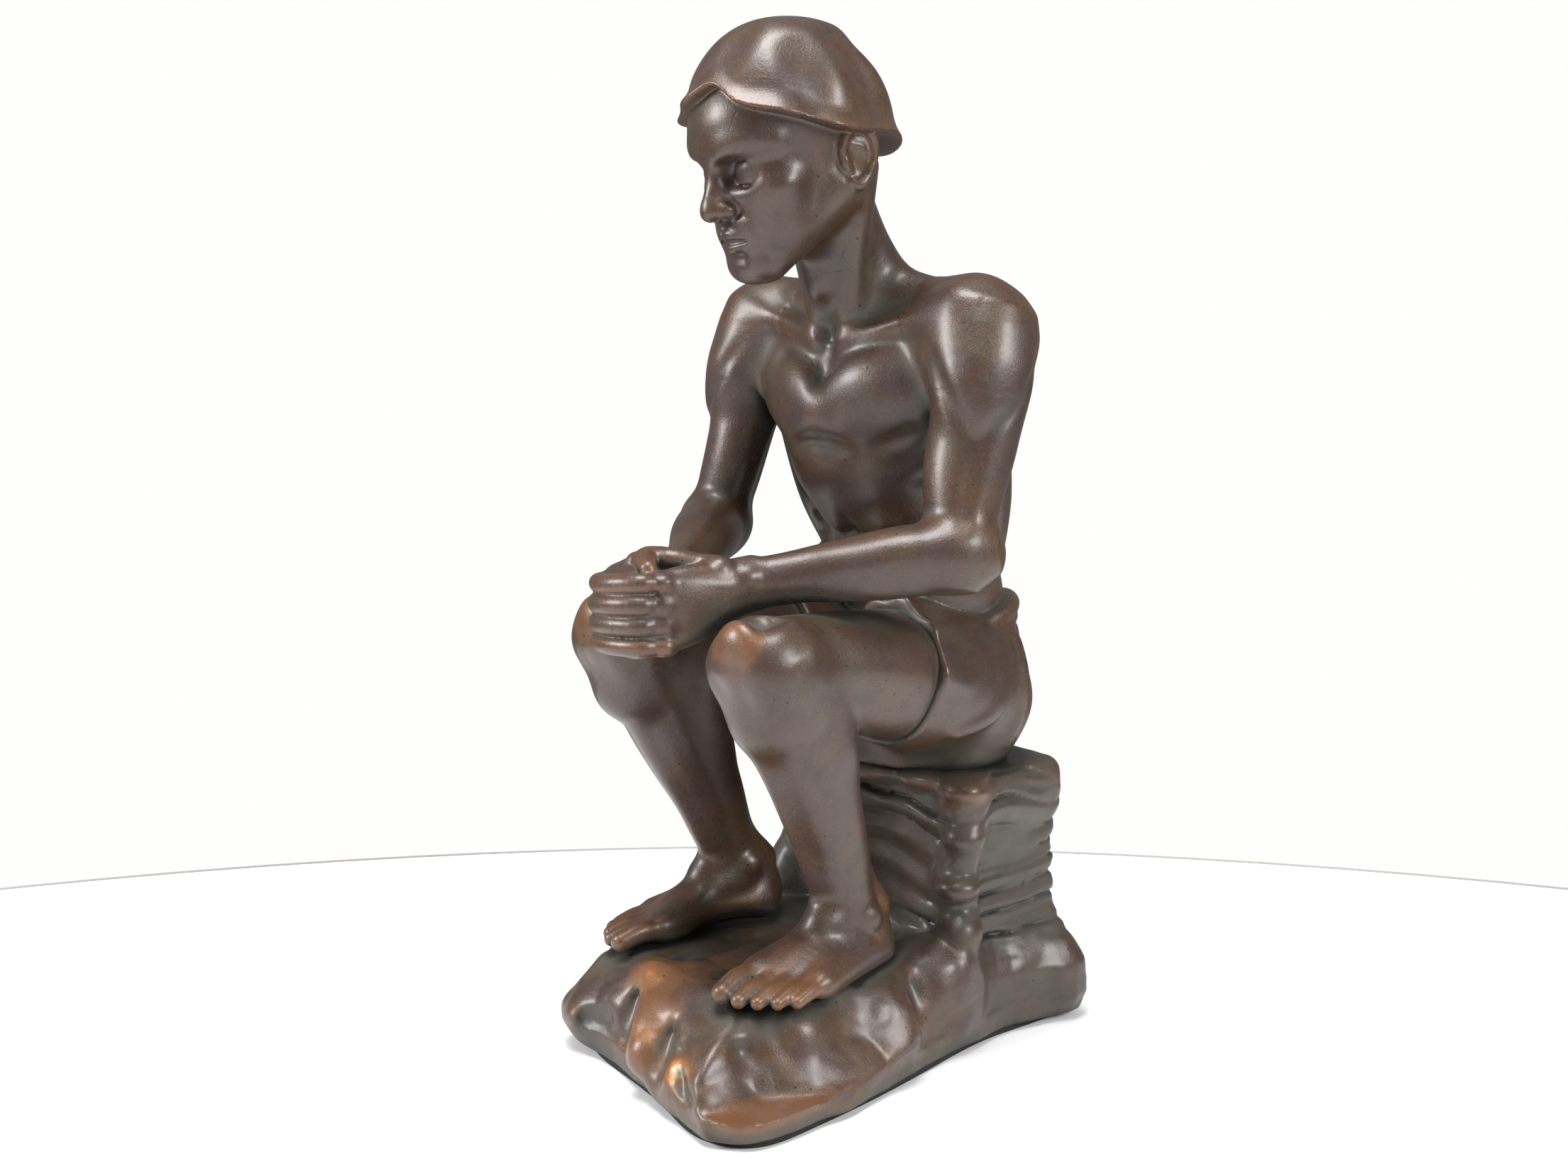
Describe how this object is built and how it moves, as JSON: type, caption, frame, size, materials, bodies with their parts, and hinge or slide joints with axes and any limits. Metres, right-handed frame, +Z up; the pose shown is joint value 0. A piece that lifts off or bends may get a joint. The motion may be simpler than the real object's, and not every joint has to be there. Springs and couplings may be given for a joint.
{
  "type": "statuette of a seated thinker",
  "caption": "Bronzed statuette of a seated person in a soft cap, head bowed and hands clasped above the knees, bolted to a hollow cast rock with a felt-covered underside.",
  "frame": {"origin": "on the table under the middle of the statuette's box", "axes": "+Z up, the figure faces -Y and its left side is +X"},
  "size_m": [0.0892, 0.108, 0.2145],
  "materials": {
    "bronze": "dark brown patina, semi-gloss, rubbed to copper on the high places and dusty in the hollows",
    "steel": "plain zinc-coated",
    "brass": "drawn rod",
    "felt": "dark pressed wool felt"
  },
  "bodies": {
    "root": {"rock_base": "bronze", "torso": "bronze", "head": "bronze", "left_arm": "bronze", "right_arm": "bronze", "clasped_hands": "bronze", "left_leg": "bronze", "right_leg": "bronze", "base_plate": "steel", "felt_pad": "felt", "left_seat_stud": "steel", "left_seat_washer": "steel", "left_seat_nut": "steel", "left_foot_stud": "steel", "left_foot_washer": "steel", "left_foot_nut": "steel", "right_seat_stud": "steel", "right_seat_washer": "steel", "right_seat_nut": "steel", "right_foot_stud": "steel", "right_foot_washer": "steel", "right_foot_nut": "steel", "plate_screw_1": "steel", "plate_screw_2": "steel", "plate_screw_3": "steel", "plate_screw_4": "steel", "neck_pin": "brass", "left_shoulder_pin": "brass", "left_thigh_pin": "brass", "left_wrist_pin": "brass", "right_shoulder_pin": "brass", "right_thigh_pin": "brass", "right_wrist_pin": "brass"}
  },
  "joints": []
}
